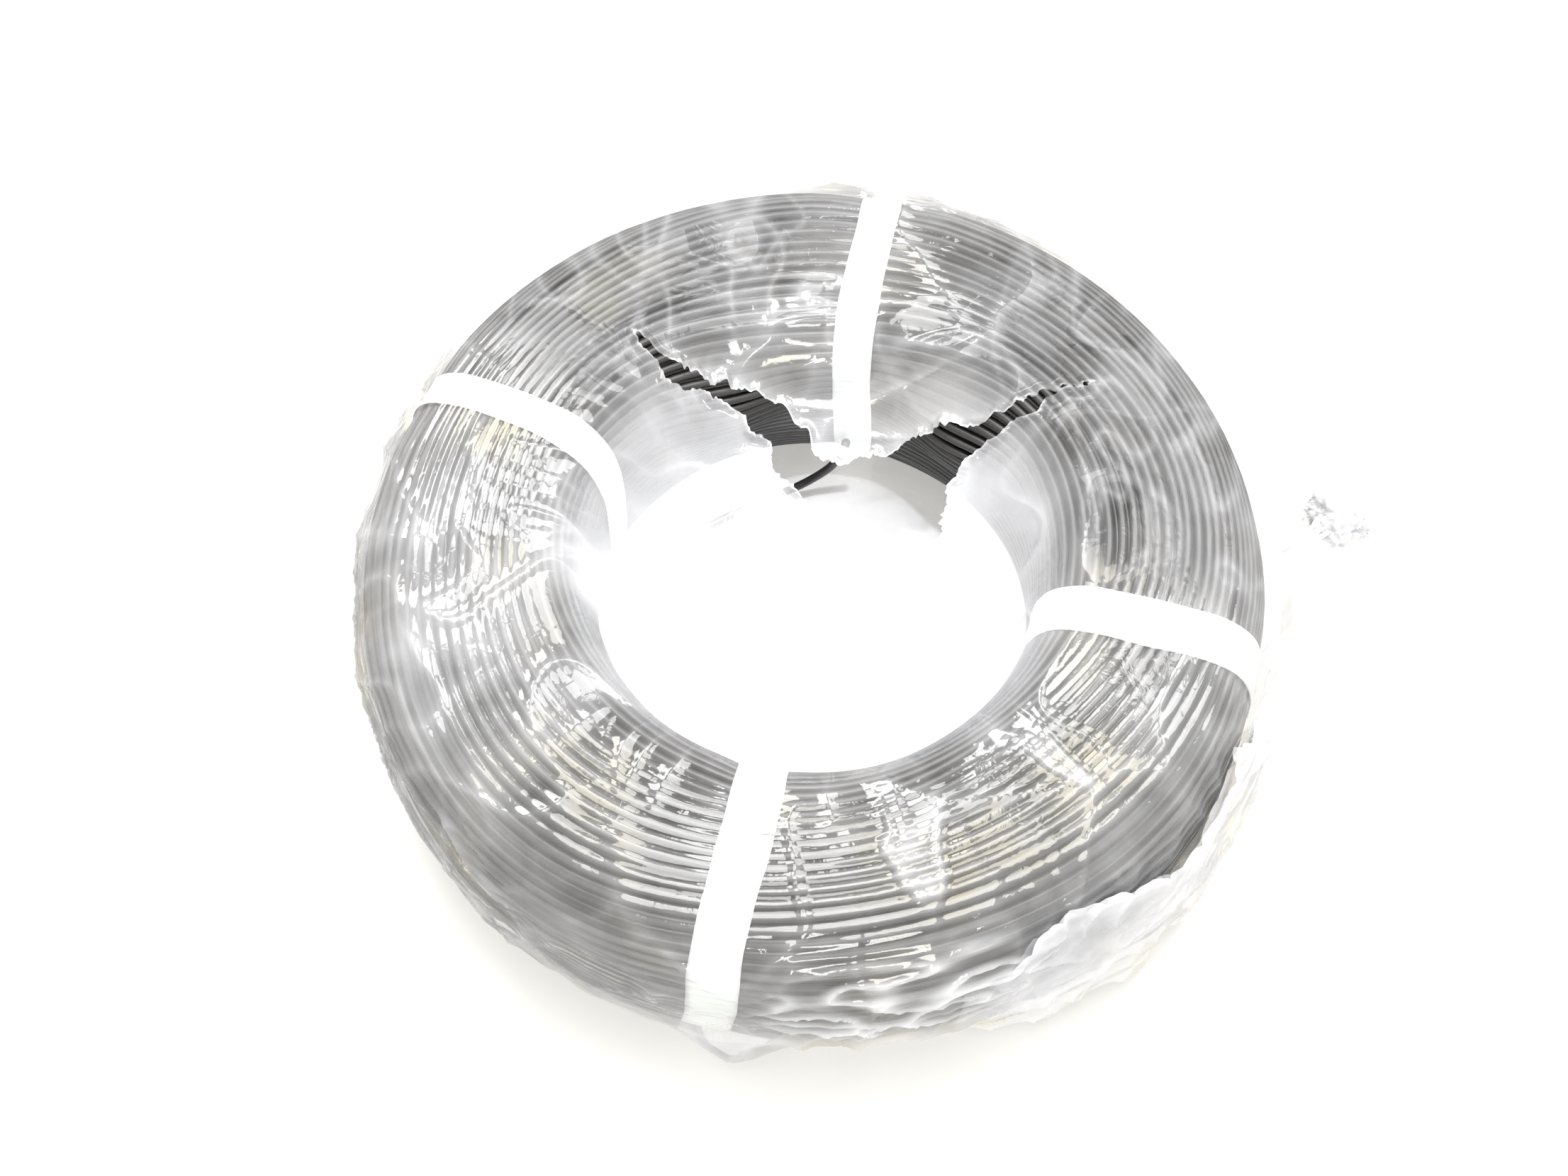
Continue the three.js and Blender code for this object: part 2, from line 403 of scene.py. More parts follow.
def floor_material():
    """A pale glossy table top that glows a little, as in the overexposed photograph."""
    material, tree, out = new_material("pale_floor")
    cloud = object_noise(tree, 3, 2)
    looks = {
        "Base Color": colours(tree, cloud, [(0.3, (0.30, 0.30, 0.298)), (0.7, (0.32, 0.32, 0.32))]),
        "Roughness": mapped(tree, cloud, 0.3, 0.7, 0.22, 0.28),
        "Emission Color": (1, 0.98, 0.93, 1),
        "Emission Strength": 0.56,
    }
    principled(tree, out, looks)
    return material


# The wound wire
WIND_INSET = WIRE / 2 + 0.35  # the middle of the outermost turns, below the coil's nominal surface
PITCH = 2.72  # the turns lie a little apart
TURN_STEPS = 120
WIRE_SIDES = 8
SECOND_SIDES = 6
LAYER_DROP = 1.85  # the next layer nests between them
WANDER_CYCLES = 6
SECTION_STEPS = 720
CORE_SIDES, CORE_STEPS = 40, 72
PINCH_DEPTH, PINCH_HALF = 0.9, 11  # how far and how widely, in degrees, a tape pulls the turns in
SLUMP = 5.0  # the turns sag into the bore beside the back tape: how far, where and over what height
SLUMP_PLACES = ((48, 26), (113, 28))
SLUMP_HEIGHT, SLUMP_HALF_HEIGHT = 45, 23
SLUMP_INSIDE = MIDDLE_RADIUS - 12


def pinch(azimuth):
    """How far each tape pulls the turns in, at an azimuth in degrees."""
    pulled = [facing(azimuth, a, PINCH_HALF) for a in TAPE_AZIMUTHS.values()]
    return PINCH_DEPTH * np.max(pulled, axis=0)


def waves(count, strength, cycles):
    """For each of count turns, a smooth closed wave round the coil."""
    angle = np.linspace(0, TAU, TURN_STEPS, endpoint=False)
    total = np.zeros((count, TURN_STEPS))
    for k in range(1, cycles + 1):
        start = rng.uniform(0, TAU, (count, 1))
        total += strength / math.sqrt(cycles) * rng.normal(size=(count, 1)) * np.cos(k * angle + start)
    return total


def inset_section(inset, angles):
    """The coil's section, made smaller by an inset on all sides."""
    return section_point(COIL_WIDTH / 2 - inset, COIL_HEIGHT / 2 - inset, angles)


def section_track(inset):
    angles = np.linspace(0, TAU, SECTION_STEPS + 1)[:-1]
    return Track(inset_section(inset, angles), closed=True)


OUTER_TRACK = section_track(WIND_INSET)
TURNS = int(OUTER_TRACK.length / PITCH)


def drift(azimuth, share):
    """How far round the section the turns move at an azimuth in radians and a share of its outline."""
    return (
        3.0 * np.cos(2 * azimuth + TAU * share + 0.6)
        + 1.6 * np.cos(3 * azimuth - 2 * TAU * share)
        + 0.5 * np.sin(5 * azimuth + 3 * TAU * share)
    )


def wound_layer(name, inset, shift, wander, material, sides):
    """One layer of turns laid side by side round the section, each a closed ring that wanders a little."""
    track = section_track(inset)
    azimuth = np.linspace(0, TAU, TURN_STEPS, endpoint=False)
    share = (np.arange(TURNS)[:, None] + shift) / TURNS
    along = share + drift(azimuth, share) / OUTER_TRACK.length
    place, out = track.look(along * track.length + waves(TURNS, wander, WANDER_CYCLES))
    degrees = np.degrees(azimuth)
    depth = waves(TURNS, wander * 0.7, WANDER_CYCLES) - pinch(degrees)
    place = place + out * depth[..., None]
    loose = np.max([facing(degrees, at, half) for at, half in SLUMP_PLACES], axis=0)
    loose = loose * bump(place[..., 1], SLUMP_HEIGHT, SLUMP_HALF_HEIGHT) * (place[..., 0] < SLUMP_INSIDE)
    place[..., 0] -= SLUMP * loose
    return make_tubes(name, place, azimuth, material, sides)


def make_tubes(name, middle, azimuth, material, sides):
    """Rings of wire about the coil's axis: middle holds radius and height for each turn and azimuth."""
    count, steps = middle.shape[:2]
    round_ = np.linspace(0, TAU, sides, endpoint=False)
    ring = np.stack([np.cos(round_), np.sin(round_)], -1) * WIRE / 2
    place = middle[:, :, None, :] + ring[None, None]
    points = around(place, azimuth[None, :, None])
    faces = grid_faces(steps, sides, wrap_rows=True, wrap_columns=True)
    faces = faces[None] + (np.arange(count) * steps * sides)[:, None, None]
    return make_object(name, points.reshape(-1, 3), faces.reshape(-1, 4), material)


def coil_core(material):
    """The hidden inner turns, one plain ring under the second layer."""
    inset = WIND_INSET + LAYER_DROP + WIRE * 0.55
    section = inset_section(inset, np.linspace(0, TAU, CORE_SIDES, endpoint=False))
    azimuth = np.linspace(0, TAU, CORE_STEPS, endpoint=False)
    points = around(section[None], azimuth[:, None])
    faces = grid_faces(CORE_STEPS, CORE_SIDES, wrap_rows=True, wrap_columns=True)
    return make_object("inner_turns", points.reshape(-1, 3), faces, material)


# The free end of the wire: azimuth, distance from the axis and height, as in the part's source
TAIL_ROUTE = [
    (79.5, 51.2, 26), (80.3, 51, 21.5), (82, 50.7, 17), (84.5, 50.2, 12.8), (88.5, 49.5, 9),
    (94, 48.6, 5.8), (102, 47.6, 3.4), (111, 46.8, 2.4), (120, 46.8, 2.1), (130, 47.4, 2.1),
    (141, 48.2, 2.1), (150, 49, 2.1), (157, 49.6, 2.1),
]
TAIL_STEPS = 6  # between two of these points
TAIL_SIDES, STRAND_SIDES = 16, 12
STRAND_RADIUS = WIRE * 0.27
STRAND_LENGTH = 0.35  # out of the cut end


def smooth_route(points, steps):
    """A curve through the points, with this many steps between each two."""
    points = np.asarray(points, float)
    ends = [2 * points[0] - points[1], 2 * points[-1] - points[-2]]
    full = np.vstack([ends[0], points, ends[1]])
    t = np.linspace(0, 1, steps, endpoint=False)[:, None]
    made = []
    for a, b, c, d in zip(full, full[1:], full[2:], full[3:]):
        made.append(
            0.5 * (2 * b + (c - a) * t + (2 * a - 5 * b + 4 * c - d) * t**2 + (3 * (b - c) + d - a) * t**3)
        )
    return np.vstack([*made, points[-1:]])


def tube(route, radius, sides):
    """Points and faces of a tube with closed ends along a route, without twist."""
    along = np.gradient(route, axis=0)
    along /= np.linalg.norm(along, axis=1)[:, None]
    side = np.cross(along, (0, 0, 1.0))
    side /= np.linalg.norm(side, axis=1)[:, None]
    up = np.cross(side, along)
    turn = np.linspace(0, TAU, sides, endpoint=False)[None, :, None]
    skin = route[:, None] + radius * (np.cos(turn) * side[:, None] + np.sin(turn) * up[:, None])
    points = np.vstack([skin.reshape(-1, 3), route[:1], route[-1:]])
    faces = halved(grid_faces(len(route), sides, wrap_columns=True))
    j = np.arange(sides)
    first, last = len(points) - 2, len(points) - 1
    base = (len(route) - 1) * sides
    cap = np.stack([np.full(sides, first), (j + 1) % sides, j], -1)
    far = np.stack([np.full(sides, last), base + j, base + (j + 1) % sides], -1)
    return points, np.vstack([faces, cap, far])


def add_tail(material, metal):
    """The free end of the wire, with the cut strands at its tip."""
    azimuth, radius, height = (np.array(c, float) for c in zip(*TAIL_ROUTE))
    azimuth = np.radians(azimuth)
    corners = np.stack([radius * np.cos(azimuth), radius * np.sin(azimuth), height], -1)
    route = smooth_route(corners, TAIL_STEPS)
    points, faces = tube(route, WIRE / 2, TAIL_SIDES)
    tail = make_object("wire_end", points, faces, material)
    last_step = route[-1] - route[-2]
    tip = route[-1] + last_step / np.linalg.norm(last_step) * STRAND_LENGTH
    points, faces = tube(np.array([route[-2], route[-1], tip]), STRAND_RADIUS, STRAND_SIDES)
    strands = make_object("wire_end_strands", points, faces, metal)
    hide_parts("wire_tail")


# The tapes: the width that each one shows, and how far its ends lie from its middle's azimuth in degrees
TAPE_LOOKS = {"front": (12.0, 1.5), "right": (12.4, -1.0), "back": (10.2, 1.0), "left": (9.6, -1.5)}
TAPE_THICKNESS = 0.18
TAPE_DEPTH = 0.62  # below the outermost turns' surface, because the tape pulls them in
TAPE_STEPS = 300
TAPE_COLUMNS = 9
SEAM_RISE = 0.2  # where one end lies on the other, inside the bore
SEAM_FROM, SEAM_TO, SEAM_EDGE = 0.42, 0.55, 0.005  # as shares of the tape's length


def add_tape(side, material):
    """A closed thin loop round the turns, which shows them faintly through it."""
    width, skew = TAPE_LOOKS[side]
    track = section_track(WIND_INSET - WIRE / 2 + TAPE_DEPTH)
    s = np.linspace(0, track.length, TAPE_STEPS, endpoint=False)
    place, out = track.look(s)
    phase = TAU * s / track.length
    wander = skew * np.sin(phase) + 0.35 * np.sin(3 * phase + skew)
    across = np.linspace(-1, 1, TAPE_COLUMNS)
    edge = 1 + 0.02 * np.sin(5 * phase + width) + 0.012 * np.sin(13 * phase)
    azimuth = np.radians(TAPE_AZIMUTHS[side] + wander)[:, None] + (
        across[None] * edge[:, None] * width / 2 / place[:, :1]
    )
    ripple = 0.1 * np.cos(TAU * s / (WIRE * 1.005)) * (0.6 + 0.4 * np.sin(7 * phase))
    share = s / track.length
    seam = SEAM_RISE * smoothstep(share, SEAM_FROM, SEAM_FROM + SEAM_EDGE)
    seam = seam * (1 - smoothstep(share, SEAM_TO, SEAM_TO + SEAM_EDGE))
    lift = (ripple + seam)[:, None] + 0.16 * across[None] ** 4
    layers = []
    for offset, order in ((TAPE_THICKNESS, 1), (0.0, -1)):
        spot = place[:, None] + out[:, None] * (lift + offset)[..., None]
        layers.append(around(spot, azimuth)[:, ::order])
    points = np.concatenate(layers, axis=1)
    faces = grid_faces(TAPE_STEPS, 2 * TAPE_COLUMNS, wrap_rows=True, wrap_columns=True)
    tape = make_object(f"tape_{side}", points.reshape(-1, 3), faces, material)
    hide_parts(f"tie_tape_{side}")


# Film
FILM_OFF = 1.0  # from the coil's nominal surface to the film
FILM_COLUMNS = 780
FILM_FOOT = 0.15  # the film's lowest height
WRAP_STEPS, MEMBRANE_STEPS = 600, 300
MEMBRANE_FROM = 135.0  # where the film leaves the turns, round the section from the outward side
MEMBRANE_SAG = 29  # from the film's top down to its middle over the bore
MEMBRANE_BEND = 0.88  # how far inward its curve is drawn, for each millimetre that it drops
POLE = (16.0, 17.0)  # the grid's middle lies inside the tear, where it is cut away


def film_track():
    """The film's section from the floor, out, up and over the coil, then down across the bore.

    Returns it with the lengths at which it leaves the turns and at which it is highest.
    """
    angles = np.radians(np.linspace(-90, MEMBRANE_FROM, WRAP_STEPS))
    turned = section_point(COIL_WIDTH / 2 + FILM_OFF, COIL_HEIGHT / 2 + FILM_OFF, angles)
    low = turned[:, 1] < COIL_MIDDLE
    squeeze = (COIL_MIDDLE - FILM_FOOT) / (COIL_HEIGHT / 2 + FILM_OFF)
    turned[low, 1] = COIL_MIDDLE - (COIL_MIDDLE - turned[low, 1]) * squeeze
    leaves = turned[-1]
    lowest = COIL_MIDDLE + COIL_HEIGHT / 2 + FILM_OFF - MEMBRANE_SAG
    bend = np.array([leaves[0] - (leaves[1] - lowest) * MEMBRANE_BEND, lowest])
    t = np.linspace(0, 1, MEMBRANE_STEPS)[1:, None]
    membrane = (1 - t) ** 2 * leaves + 2 * t * (1 - t) * bend + t * t * np.array([0.0, lowest])
    track = Track(np.vstack([turned, membrane]), closed=False)
    return track, track.at[len(turned) - 1], track.at[np.argmax(turned[:, 1])]


FILM_TRACK, LEAVES_AT, CREST_AT = film_track()
LEAVES_RADIUS = FILM_TRACK.look(np.array([LEAVES_AT]))[0][0, 0]


def film_base(s, azimuth):
    """Places and outward directions of the smooth film, for lengths along the section and azimuths."""
    place, out = FILM_TRACK.look(s)
    spot = around(place[:, None], azimuth[None])
    normal = around(out[:, None], azimuth[None])
    inner = s > LEAVES_AT
    lean = np.clip(1 - place[inner, 0] / LEAVES_RADIUS, 0, 1)[:, None]
    spot[inner, :, 0] += POLE[0] * lean
    spot[inner, :, 1] += POLE[1] * lean
    radius = np.hypot(spot[inner, :, 0], spot[inner, :, 1])
    tail = FILM_TRACK.at >= LEAVES_AT
    order = np.argsort(FILM_TRACK.points[tail, 0])
    radii = FILM_TRACK.points[tail, 0][order]
    spot[inner, :, 2] = np.interp(radius, radii, FILM_TRACK.points[tail, 1][order])
    lean_in = np.interp(radius, radii, FILM_TRACK.outward[tail, 0][order])
    rise = np.interp(radius, radii, FILM_TRACK.outward[tail, 1][order])
    away = np.maximum(radius, 1e-6)
    outward = [lean_in * spot[inner, :, 0] / away, lean_in * spot[inner, :, 1] / away, rise]
    normal[inner] = np.stack(outward, -1)
    return spot, normal


# The tear's outline seen from above, in millimetres
TEAR_FAR_SIDE = [
    (-45.2, 55.9), (-38.6, 51.7), (-33.3, 50.3), (-26.3, 49.1), (-15.6, 47.6), (-6.6, 45.6),
    (-4.8, 43.3), (-2.9, 40.2), (0.7, 35.7), (6.1, 32.5), (11.5, 32.2), (16.9, 32.7), (21.4, 34.7),
    (25.9, 36.5), (35.5, 37.3), (44.7, 36.9), (55.7, 37.5), (67.1, 40.8), (69.8, 41.8),
]
TEAR_NEAR_SIDE = [
    (65.3, 40.2), (58.2, 37.2), (51.4, 33.1), (45.6, 31.9), (39.7, 29.3), (36.6, 25.5),
    (34.1, 20.4), (31.2, 12.7), (27.1, 5.0), (20.1, 3.6), (12.6, 1.7), (7.3, 1.4), (6.6, 6.4),
    (5.6, 12.3), (0.6, 19.0), (-4.2, 25.5), (-6.9, 27.9), (-10.4, 31.0), (-11.5, 33.9),
    (-11.1, 37.2), (-15.3, 40.3), (-19.2, 42.9), (-23.5, 45.3), (-28.1, 45.6), (-33.4, 45.4),
    (-39.5, 49.9),
]
TEAR_STEP = 0.55
TOOTH = 0.8  # half of the steps move out or in by up to this
BITE, BITE_EVERY = 0.7, 3


def tear_outline():
    """The outline with its torn edge: small teeth and longer bites."""
    corners = np.array(TEAR_FAR_SIDE + TEAR_NEAR_SIDE)
    closed = np.vstack([corners, corners[:1]])
    steps = np.linalg.norm(np.diff(closed, axis=0), axis=1)
    at = np.concatenate([[0], np.cumsum(steps)])
    s = np.arange(0, at[-1], TEAR_STEP)
    line = np.stack([np.interp(s, at, closed[:, k]) for k in (0, 1)], -1)
    along = np.roll(line, -1, 0) - np.roll(line, 1, 0)
    side = np.stack([along[:, 1], -along[:, 0]], -1) / np.linalg.norm(along, axis=1)[:, None]
    teeth = rng.uniform(-TOOTH, TOOTH, len(s)) * (rng.uniform(size=len(s)) < 0.5)
    bite_places = np.arange(0, at[-1] + BITE_EVERY, BITE_EVERY)
    bites = BITE * np.interp(s, bite_places, rng.normal(size=int(at[-1] / BITE_EVERY) + 2))
    return line + side * (teeth + bites)[:, None]


def outside_by(points, outline):
    """How far each point lies outside a closed outline, less than 0 inside it."""
    nearest = np.full(len(points), 1e9)
    inside = np.zeros(len(points), bool)
    for a, b in zip(outline, np.roll(outline, -1, 0)):
        edge = b - a
        rel = points - a
        t = np.clip(rel @ edge / max(edge @ edge, 1e-9), 0, 1)
        nearest = np.minimum(nearest, ((rel - t[:, None] * edge) ** 2).sum(1))
        crosses = (a[1] > points[:, 1]) != (b[1] > points[:, 1])
        where = a[0] + (points[:, 1] - a[1]) * edge[0] / (edge[1] if edge[1] else 1e-9)
        inside ^= crosses & (points[:, 0] < where)
    return np.where(inside, -1, 1) * np.sqrt(nearest)


def keep_outside(points, faces, gap, values):
    """Cuts a mesh of triangles where gap is 0, and keeps the side where it is more.

    Values are arrays with a number for each point, which are carried over to the cut's new points.
    """
    above = gap > 0
    count = above[faces].sum(1)
    kept = [faces[count == 3]]
    edges = {}
    new = []

    def cut(a, b):
        key = (min(a, b), max(a, b))
        if key not in edges:
            edges[key] = len(points) + len(new)
            new.append((a, b, gap[a] / (gap[a] - gap[b])))
        return edges[key]

    def blend(value):
        share = t if value.ndim == 1 else t[:, None]
        return np.concatenate([value, value[a] + (value[b] - value[a]) * share])

    extra = []
    partly = (count > 0) & (count < 3)
    for face, n in zip(faces[partly], count[partly]):
        while above[face[0]] != (n == 1):
            face = np.roll(face, 1)
        lone, right, left = face  # the corner that is alone on its side of the cut, and the other two
        if n == 1:
            extra.append((lone, cut(lone, right), cut(lone, left)))
        else:
            extra.append((cut(right, lone), right, left))
            extra.append((cut(right, lone), left, cut(left, lone)))
    a, b, t = (np.array(c) for c in zip(*new))
    faces = np.vstack([*kept, np.array(extra)])
    used = np.unique(faces)
    renumber = np.full(len(points) + len(new), -1)
    renumber[used] = np.arange(len(used))
    return blend(points)[used], renumber[faces], [blend(v)[used] for v in values]


NOISE = [Noise(seed) for seed in range(11, 19)]

# Places of the film's surface, by azimuth and half a width in degrees
DENSE_CREASES = (200, 50)
LONG_FOLDS = (212, 52)
APRON = (-84, 44)  # milky, low at the front
NET = (-78, 26)  # small clear windows between white lines
BACK_STRIP = (84, 50)  # the part beyond the tear
# The milky blotches on top are a painted highlight of bright blotches of light
HIGHLIGHT_BLOTCHES = ((197, 50, 0.17), (-38, 42, 0.08), (84, 50, 0.06))  # with how milky they are
CALM_PLACES = ((22, 50), (118, 42))
# The tongues are real folds; their whiter rim and fill are a painted highlight
TONGUES = ((-74, 6.5, 31), (-47, 3.2, 24))  # folds from the inner rim: azimuth, half width and length
LINE_RADIUS = 100  # turns azimuths into lengths round the coil


def film_relief(spot, s, azimuth):
    """The film's surface at points, given with their length along the section and azimuth in radians.

    Returns how far it stands off its smooth shape, how milky it is, how closely it clings to the
    turns and how dull it is.
    """
    degrees = np.degrees(azimuth)
    ring = np.stack([np.cos(azimuth), np.sin(azimuth)], -1)
    flank = 1 - smoothstep(s, CREST_AT - 36, CREST_AT - 8)
    inner = smoothstep(s, CREST_AT + 8, LEAVES_AT + 12)
    across = smoothstep(s, LEAVES_AT - 4, LEAVES_AT + 14)
    warp = np.stack([NOISE[k](spot / 30) for k in (0, 1, 2)], -1)
    patchy = smoothstep(NOISE[4](spot / 38 + 5), -0.15, 0.45)

    def lined(round_, along, seed, slant=0.0):
        """Ridges with a length round the coil and a length along the section."""
        rows = (s + slant * azimuth * LINE_RADIUS) / along + 1.5 * warp[:, 0]
        return ridged(NOISE[seed], np.column_stack([ring * LINE_RADIUS / round_, rows]), 3)

    # Creases everywhere, small ones in patches, and broad waves
    creases = ridged(NOISE[3], (spot + 9 * warp) / 26, 5) * (1 + facing(degrees, *DENSE_CREASES))
    small = ridged(NOISE[4], (spot + 9 * warp) / 11, 4) * patchy
    height = 0.7 * creases + 0.15 * small + 0.9 * NOISE[5](spot / 34)
    haze = 0.05 * creases + 0.02 * small

    # Pleats that run into the bore, where the film leaves the turns
    pleats = lined(13, 60, 6) * bump(s, LEAVES_AT - 4, 30) * patchy
    height = height + 0.8 * pleats
    haze = haze + 0.08 * pleats

    # Upright folds on the flank
    upright = lined(24, 70, 5) * flank
    height = height + 1.2 * upright
    haze = haze + 0.08 * upright + 0.05 * flank

    # Long folds round the left
    left = facing(degrees, *LONG_FOLDS) * flank
    long_folds = lined(95, 10, 7, slant=0.16) * left
    height = height * (1 - 0.6 * left) + 1.5 * long_folds
    haze = haze - 0.03 * left + 0.12 * long_folds

    # The apron, and the net above it
    low = 1 - smoothstep(spot[:, 2], 22, 50)
    apron = facing(degrees, *APRON) * low * flank
    haze = haze + 0.36 * apron * (0.8 + 0.6 * NOISE[6](spot / 12))
    front = smoothstep(facing(degrees, *NET) * bump(s, CREST_AT - 42, 25), 0, 0.45)
    net_lines = np.column_stack([ring * LINE_RADIUS / 15, s / 6]) + 0.5 * warp
    net = ridged(NOISE[2], net_lines, 2.4)
    height = height * (1 - 0.4 * front) + 1.5 * net * front
    haze = haze + (0.6 * net - 0.05) * front

    # Streaks along X on the strip beyond the tear
    strip = facing(degrees, *BACK_STRIP) * smoothstep(s, CREST_AT + 2, CREST_AT + 14)
    lines = np.column_stack([spot[:, 0] / 60, spot[:, 1] / 8, s * 0]) + 0.45 * warp
    streaks = ridged(NOISE[1], lines, 4)
    height = height * (1 - 0.6 * strip) + 2.3 * streaks * strip
    haze = haze + 0.12 * streaks * strip

    # Painted highlight: milky blotches on top, whiter film where the top shows bright blotches of light
    on_top = smoothstep(s, CREST_AT - 34, CREST_AT - 16)
    highlight_blotch = 0.75 + 0.7 * NOISE[0](spot / 17 + 2) + 0.25 * NOISE[2](spot / 7)
    for middle, half, milk in HIGHLIGHT_BLOTCHES:
        haze = haze + milk * facing(degrees, middle, half) * on_top * highlight_blotch

    # Tongues, each with a raised rim: folds from the inner rim, whose rim and fill are whitened as a
    # painted highlight of bright hanging folds
    for middle, width, reach in TONGUES:
        down = (LEAVES_AT - 10 - s) / reach
        half = width * np.clip(1 - down, 0, 1) ** 0.5 * (1 + 0.5 * NOISE[2](spot / 8))
        aside = np.radians(turn_from(degrees, middle)) * np.hypot(spot[:, 0], spot[:, 1]) + 5 * warp[:, 1]
        shown = smoothstep(down, 0, 0.5) * (1 - smoothstep(down, 0.85, 1.05))
        rim = np.exp(-(((np.abs(aside) - half) / 1.1) ** 2)) * shown
        fill = smoothstep(half - np.abs(aside), -1, 3) * shown
        height = height + 0.7 * rim + 0.5 * fill
        haze = haze + 0.17 * rim + 0.16 * fill * (1 + NOISE[4](spot / 6))

    # More haze over the bore; the film clings to the turns between flank and bore
    over_bore = smoothstep(s, LEAVES_AT - 10, LEAVES_AT + 6) * (1 - 0.85 * strip)
    haze = haze + 0.2 * over_bore * (1 + 0.5 * NOISE[6](spot / 20))
    cling = smoothstep(s, CREST_AT - 66, CREST_AT - 44)
    cling = cling * (1 - smoothstep(s, LEAVES_AT - 22, LEAVES_AT - 4))
    cling = cling * (0.45 + 0.55 * smoothstep(NOISE[7](spot / 26), -0.3, 0.3)) * (1 - 0.8 * front)

    # Calm places are flatter and dull, with faint drawn lines
    calm = np.max([facing(degrees, *place) for place in CALM_PLACES], axis=0)
    calm = smoothstep(calm, 0, 0.5) * (1 - smoothstep(s, LEAVES_AT - 12, LEAVES_AT))
    height = height * (1 - 0.6 * calm)
    drawn_lines = np.column_stack([spot[:, 0] / 9, spot[:, 1] / 26, s / 30]) + 0.8 * warp
    drawn = ridged(NOISE[5], drawn_lines, 4)
    haze = haze + (0.02 + 0.11 * drawn + 0.05 * NOISE[3](spot / 14)) * calm
    cling = cling * (1 - 0.85 * calm)
    return height * (1 - 0.3 * inner) * (1 - 0.35 * across), haze, cling, 0.85 * calm


def turn_under(s, azimuth):
    """Which of the outermost turns lies under the film, as a number that is whole at its middle."""
    angles = np.radians(np.linspace(-180, 180, SECTION_STEPS + 1))
    line = inset_section(WIND_INSET, angles)
    at = np.concatenate([[0], np.cumsum(np.linalg.norm(np.diff(line, axis=0), axis=1))])
    at -= at[SECTION_STEPS // 2]
    film_angles = np.radians(np.linspace(-90, MEMBRANE_FROM, WRAP_STEPS))
    wanted = np.interp(np.interp(s, FILM_TRACK.at[:WRAP_STEPS], film_angles), angles, at)
    along = wanted
    for _ in range(3):
        along = wanted - drift(azimuth, along / OUTER_TRACK.length)
    return along / OUTER_TRACK.length * TURNS


# Where the film stands out from the coil: azimuth, half a width in degrees, reach, height, half height
LOOSE_PLACES = [
    (2, 20, 14, 26, 42),  # toward the bunched end
    (-46, 34, 1.5, 16, 40),  # under the folded flap
    (-99.5, 9, 9.0, 0, 20),  # the bag's corner
]
# The film's two sheets, flank and top
FLANK_ROWS, TOP_ROWS = 100, 125
SHEETS_MEET_AT = CREST_AT - 26
POLE_GAP = 6  # left open at the grid's middle, inside the tear
CURL_WIDTH = 3.0  # the film curls up beside the tear


def loose_reach(azimuth, height):
    """How far the film stands out, at azimuths in degrees and heights."""
    reach = [
        far * facing(azimuth, a, half) * bump(height, middle, tall)
        for a, half, far, middle, tall in LOOSE_PLACES
    ]
    return np.max(reach, axis=0)


def film_sheet(name, start, end, rows, material, tear=None):
    """A part of the film, from one length along the section to another."""
    s = np.linspace(start, end, rows)
    azimuth = np.linspace(0, TAU, FILM_COLUMNS, endpoint=False)
    spot, normal = film_base(s, azimuth)
    spot, normal = spot.reshape(-1, 3), normal.reshape(-1, 3)
    along = np.repeat(s, FILM_COLUMNS)
    turned = np.arctan2(spot[:, 1], spot[:, 0])
    height, haze, cling, dull = film_relief(spot, along, turned)
    rib = turn_under(along, turned)
    radius = np.hypot(spot[:, 0], spot[:, 1])
    out = smoothstep(radius, MIDDLE_RADIUS, COIL_RADIUS)
    reach = loose_reach(np.degrees(turned), spot[:, 2]) * out
    faces = halved(grid_faces(rows, FILM_COLUMNS, wrap_columns=True))
    if tear is not None:
        gap = np.full(len(spot), 1e3)
        near = (along > CREST_AT - 14) & (spot[:, 1] > -10)  # the tear lies well inside this part
        gap[near] = outside_by(spot[near, :2], tear)
        curl = 1 - smoothstep(gap, 0, CURL_WIDTH)
        height = height * (1 - 0.7 * curl) + curl**2 * (1.2 + 1.6 * NOISE[0](spot / 6))
        # Painted highlight: the film is whitened in spots along the torn edge, and slightly near it,
        # standing in for the light its curl catches
        edge = 1 - smoothstep(gap, 0.05, 0.45)
        haze = haze + 0.35 * edge * smoothstep(NOISE[1](spot / 4), -0.4, 0.3)
        haze = haze + 0.04 * (1 - smoothstep(gap, 0.5, 5))
    moved = spot + normal * height[:, None]
    moved[:, :2] *= (1 + reach / np.maximum(radius, 1))[:, None]
    moved[:, 2] = np.maximum(moved[:, 2], FILM_FOOT)
    if tear is not None:
        layers = [haze, cling, rib, dull]
        moved, faces, (haze, cling, rib, dull) = keep_outside(moved, faces, gap, layers)
    sheet = make_object(name, moved, faces, material)
    add_values(sheet, haze=np.clip(haze, 0, 1), cling=cling, rib=rib, dull=dull)
    return sheet


